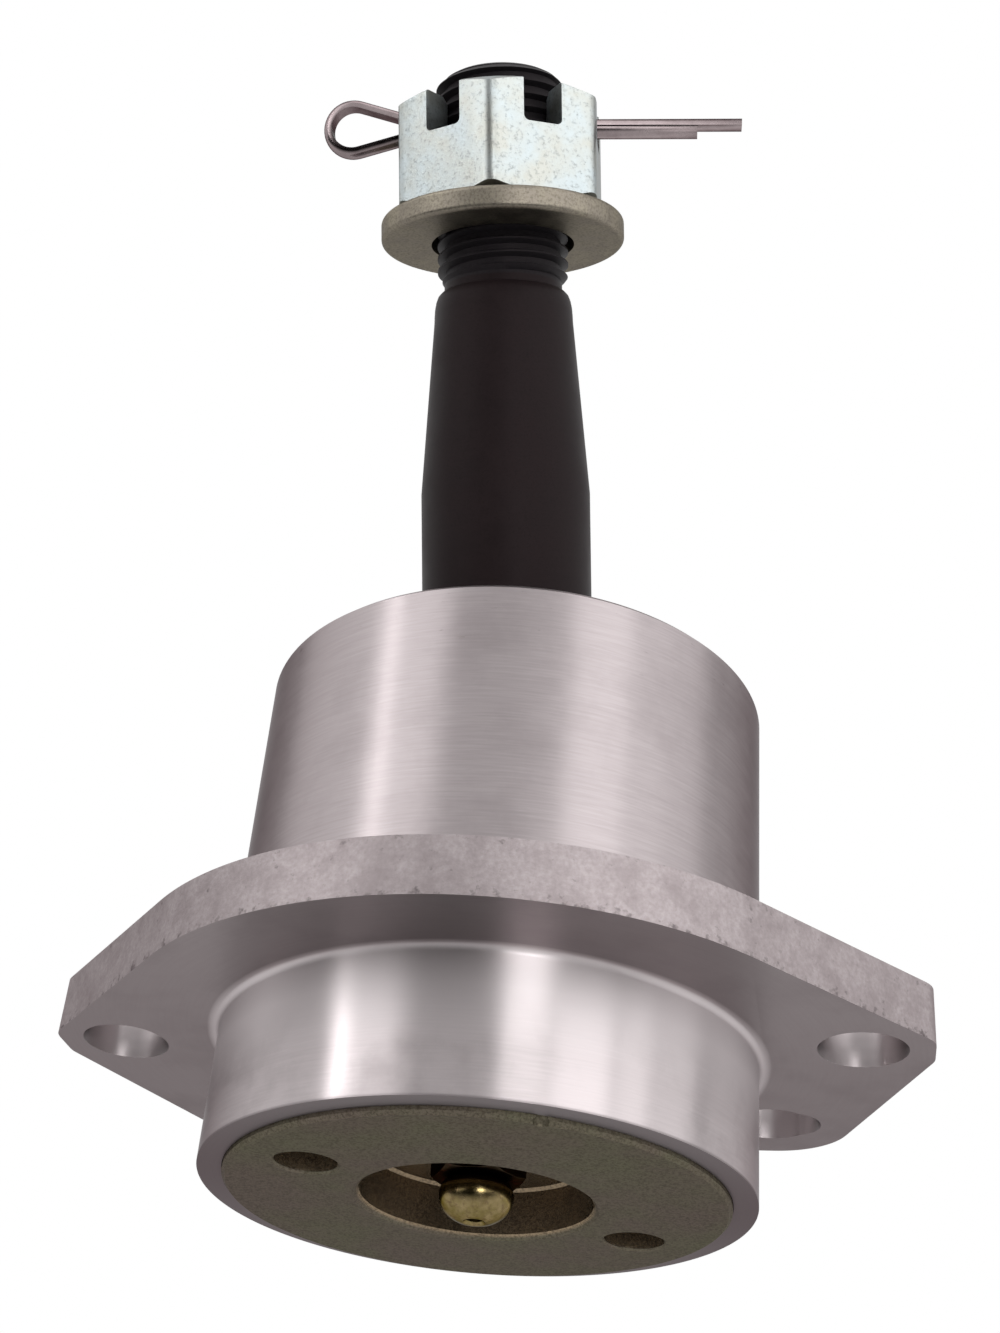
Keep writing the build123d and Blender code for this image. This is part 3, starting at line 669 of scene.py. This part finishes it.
def makeNut(size):
    flats = size["acrossFlats"] / 2
    corner = flats / math.cos(math.radians(30))
    drop = (corner - flats) * math.tan(math.radians(size["cornerCut"]))
    low, high = size["low"], size["high"]
    hexagon = makeHexagon(corner, low, high)
    # the forged corners are well rounded
    upright = [e for e in hexagon.edges if abs(e.verts[0].co.z - e.verts[1].co.z) > 5 * mm]
    bmesh.ops.bevel(hexagon, geom=upright, offset=size["corner"] * mm, segments=4, profile=0.5, affect="EDGES",
                    material=-1)
    bmesh.ops.recalc_face_normals(hexagon, faces=hexagon.faces)
    nut = makeObject("nut", hexagon)
    # both ends are turned to a cone, which leaves the arcs at the foot of each flat
    blank = [(0, low), (flats - 0.1, low), (corner + 0.02, low + drop + 0.08), (corner + 0.02, high - drop - 0.08),
             (flats - 0.1, high), (0, high)]
    combine(nut, turnProfile(blank, 144), "INTERSECT")
    for turn in (0, 60, 120):
        slot = bmesh.new()
        bmesh.ops.create_cube(slot, size=1, matrix=Matrix.Rotation(math.radians(turn), 4, "Z")
                              @ Matrix.Translation((0, 0, (size["slotFloor"] + size["cutterHeight"] / 2) * mm))
                              @ Matrix.Diagonal((size["cutterLength"] * mm, size["slotWidth"] * mm,
                                                 size["cutterHeight"] * mm, 1)))
        foot = [e for e in slot.edges if all(v.co.z < size["slotFloor"] * mm + 1e-6 for v in e.verts)
                and (e.verts[0].co - e.verts[1].co).length > size["cutterLength"] / 2 * mm]
        bmesh.ops.bevel(slot, geom=foot, offset=size["slotCorner"] * mm, segments=4, profile=0.5, affect="EDGES",
                        material=-1)
        combine(nut, slot, "DIFFERENCE")
    bore, sink = size["bore"], size["countersink"]
    combine(nut, turnProfile([(0, low - 1), (bore + sink + 1, low - 1), (bore, low + sink), (bore, high - sink),
                              (bore + sink + 1, high + 1), (0, high + 1)], 96), "DIFFERENCE")
    finishPiece(nut, "slottedNut", "clearZinc", "stud", ["castle_nut"], lean=studLean,
                turn=nutAzimuth, round_=size["arris"])


makeNut(nutSize)
print("castle nut made")


capSize = {
    "face": -42.1, "radius": 23.65, "shoulder": -33.6, "pilot": 22.0, "top": -29.6,
    "grooveLow": -32.85, "grooveHigh": -30.35, "grooveRadius": 19.9,
    "pitch": 1.5, "threadDepth": 0.55, "threadStart": 1.1,
    "recess": 10.9, "recessFloor": -37.2, "recessChamfer": 0.5, "recessCorner": 0.3, "edge": 0.35,
    "holeCircle": 17.2, "holeAzimuth": 37.3, "holeRadius": 2.9, "holeDepth": 5.0, "drillPoint": 1.4,
    "threadHole": 3.15, "stakeAzimuth": -67, "stakeRadius": 0.75,
}


def makeCap(size):
    face, edge = size["face"], size["edge"]
    profile = [(0, face), (size["radius"] - edge, face), (size["radius"], face + edge)]
    height = face + size["threadStart"]
    while height + size["pitch"] < size["shoulder"]:
        profile += [(size["radius"], height), (size["radius"] - size["threadDepth"], height + size["pitch"] / 2)]
        height += size["pitch"]
    profile += [(size["radius"], size["shoulder"]), (size["pilot"], size["shoulder"]),
                (size["pilot"], size["grooveLow"]), (size["grooveRadius"], size["grooveLow"]),
                (size["grooveRadius"], size["grooveHigh"]), (size["pilot"], size["grooveHigh"]),
                (size["pilot"], size["top"]), (0, size["top"])]
    cap = makeObject("cap", turnProfile(profile, 160))
    r, c, floor, corner = size["recess"], size["recessChamfer"], size["recessFloor"], size["recessCorner"]
    above = size["top"] + 1.6
    combine(cap, turnProfile([(0, face - 1), (r + c + 1, face - 1), (r, face + c), (r, floor - corner),
                              (r - corner, floor), (size["threadHole"], floor),
                              (size["threadHole"], above), (0, above)], 128), "DIFFERENCE")
    h, d = size["holeRadius"], face + size["holeDepth"]
    for turn in (0, 180):
        angle = math.radians(size["holeAzimuth"] + turn)
        drilled = turnProfile([(0, face - 1), (h + 1.2, face - 1), (h, face + 0.2), (h, d),
                               (0, d + size["drillPoint"])], 64)
        bmesh.ops.translate(drilled, verts=drilled.verts,
                            vec=(size["holeCircle"] * math.cos(angle) * mm,
                                 size["holeCircle"] * math.sin(angle) * mm, 0))
        combine(cap, drilled, "DIFFERENCE")
    # the punch mark that locks the cap, on the side towards the camera
    angle = math.radians(size["stakeAzimuth"])
    punch = bmesh.new()
    bmesh.ops.create_icosphere(punch, subdivisions=3, radius=size["stakeRadius"] * mm,
                               matrix=Matrix.Translation((size["radius"] * math.cos(angle) * mm,
                                                          size["radius"] * math.sin(angle) * mm, face * mm)))
    combine(cap, punch, "DIFFERENCE")
    finishPiece(cap, "screwedCap", "capDichromate", "housing", ["cap"], round_=0.08)


makeCap(capSize)
print("cap made")


fittingSize = {
    "tip": -43.8, "hexLow": -39.9, "hexHigh": -37.25, "acrossFlats": 7.94, "hexCorner": 0.55,
    "head": ((1.05, -43.8), (1.35, -43.79), (1.75, -43.68), (2.2, -43.46), (2.62, -43.17), (2.97, -42.83),
             (3.24, -42.42), (3.42, -41.95), (3.5, -41.45), (3.5, -41.1), (3.42, -40.75), (3.25, -40.42),
             (2.95, -40.15), (2.6, -40.0), (2.35, -39.95)),
    "mouth": 0.75, "mouthRim": 0.3, "bore": 1.4, "ballSeat": -42.0, "boreStart": -41.4,
    "threadRadius": 3.08, "threadStart": -37.0, "threadEnd": -32.4, "pitch": 0.9, "top": -31.2,
}


def makeFitting(size):
    thread = []
    height = size["threadStart"]
    crest, half = size["threadRadius"], size["pitch"] / 2
    while height < size["threadEnd"]:
        thread += [(crest, height), (crest - half, height + half)]
        height += size["pitch"]
    outer = [*size["head"], (crest, size["hexLow"]), (crest, size["hexHigh"]), *thread,
             (crest, size["top"] - 0.4), (crest - 0.4, size["top"])]
    inner = [(size["bore"], size["top"]), (size["bore"], size["boreStart"]), (size["mouth"], size["ballSeat"]),
             (size["mouth"], size["tip"] + 0.25), (size["mouth"] + size["mouthRim"], size["tip"])]
    fitting = makeObject("fitting", turnProfile([*outer, *inner, outer[0]], 96))
    low, high = size["hexLow"], size["hexHigh"]
    corner = size["acrossFlats"] / 2 / math.cos(math.radians(30))
    collar = makeObject("collar", makeHexagon(corner, low, high))
    combine(collar, turnProfile([(0, low), (corner - size["hexCorner"], low), (corner, low + 0.35), (corner, high),
                                 (0, high)], 72), "INTERSECT")
    hole = size["bore"] + 0.3
    combine(collar, turnProfile([(0, low - 1), (hole, low - 1), (hole, high + 1), (0, high + 1)], 64), "DIFFERENCE")
    combine(fitting, takeShape(collar), "UNION")
    finishPiece(fitting, "greaseFitting", "goldZinc", "housing", ["grease_fitting"], turn=30,
                round_=0.05)


makeFitting(fittingSize)
print("grease fitting made")

# the pin hangs a little askew in its hole, as it was pushed in
pinSize = {"askew": 2.6, "level": 72.75}


def tiltPin(size):
    source = nodes["cotter_pin"]
    shape = bmesh.new()
    shape.from_mesh(source.data)
    bmesh.ops.transform(shape, matrix=source.matrix_world, verts=shape.verts)
    bmesh.ops.remove_doubles(shape, verts=shape.verts, dist=1e-6)
    bmesh.ops.recalc_face_normals(shape, faces=shape.faces)
    place = Matrix.Rotation(math.radians(studLean), 4, "X") @ Matrix.Rotation(math.radians(nutAzimuth), 4, "Z")
    pivot = Matrix.Translation((0, 0, size["level"] * mm))
    askew = pivot @ Matrix.Rotation(math.radians(size["askew"]), 4, "Y") @ pivot.inverted()
    # finishPiece puts it back at the stud's lean
    bmesh.ops.transform(shape, matrix=askew @ place.inverted(), verts=shape.verts)
    finishPiece(makeObject("pin", shape), "splitPin", "drawnWire", "stud", ["cotter_pin"],
                lean=studLean, turn=nutAzimuth)


tiltPin(pinSize)
print("cotter pin tilted")

# every CAD node, also those that a rebuilt piece replaces
carried = {
    "housing": "turnedAluminium", "washer": "stampedZinc", "cotter_pin": "drawnWire", "ball": "bearingSteel",
    "check_ball": "bearingSteel", "upper_seat": "seatBronze", "lower_seat": "seatBronze",
    "preload_spring": "springSteel", "check_spring": "springSteel", "cap_o_ring": "nitrile",
    "stud": "blackOxide", "castle_nut": "clearZinc", "cap": "capDichromate", "grease_fitting": "goldZinc",
}
for node, material in carried.items():
    dress(node, material)
print("carried-over pieces dressed")

bpy.context.scene.view_settings.view_transform = "Standard"
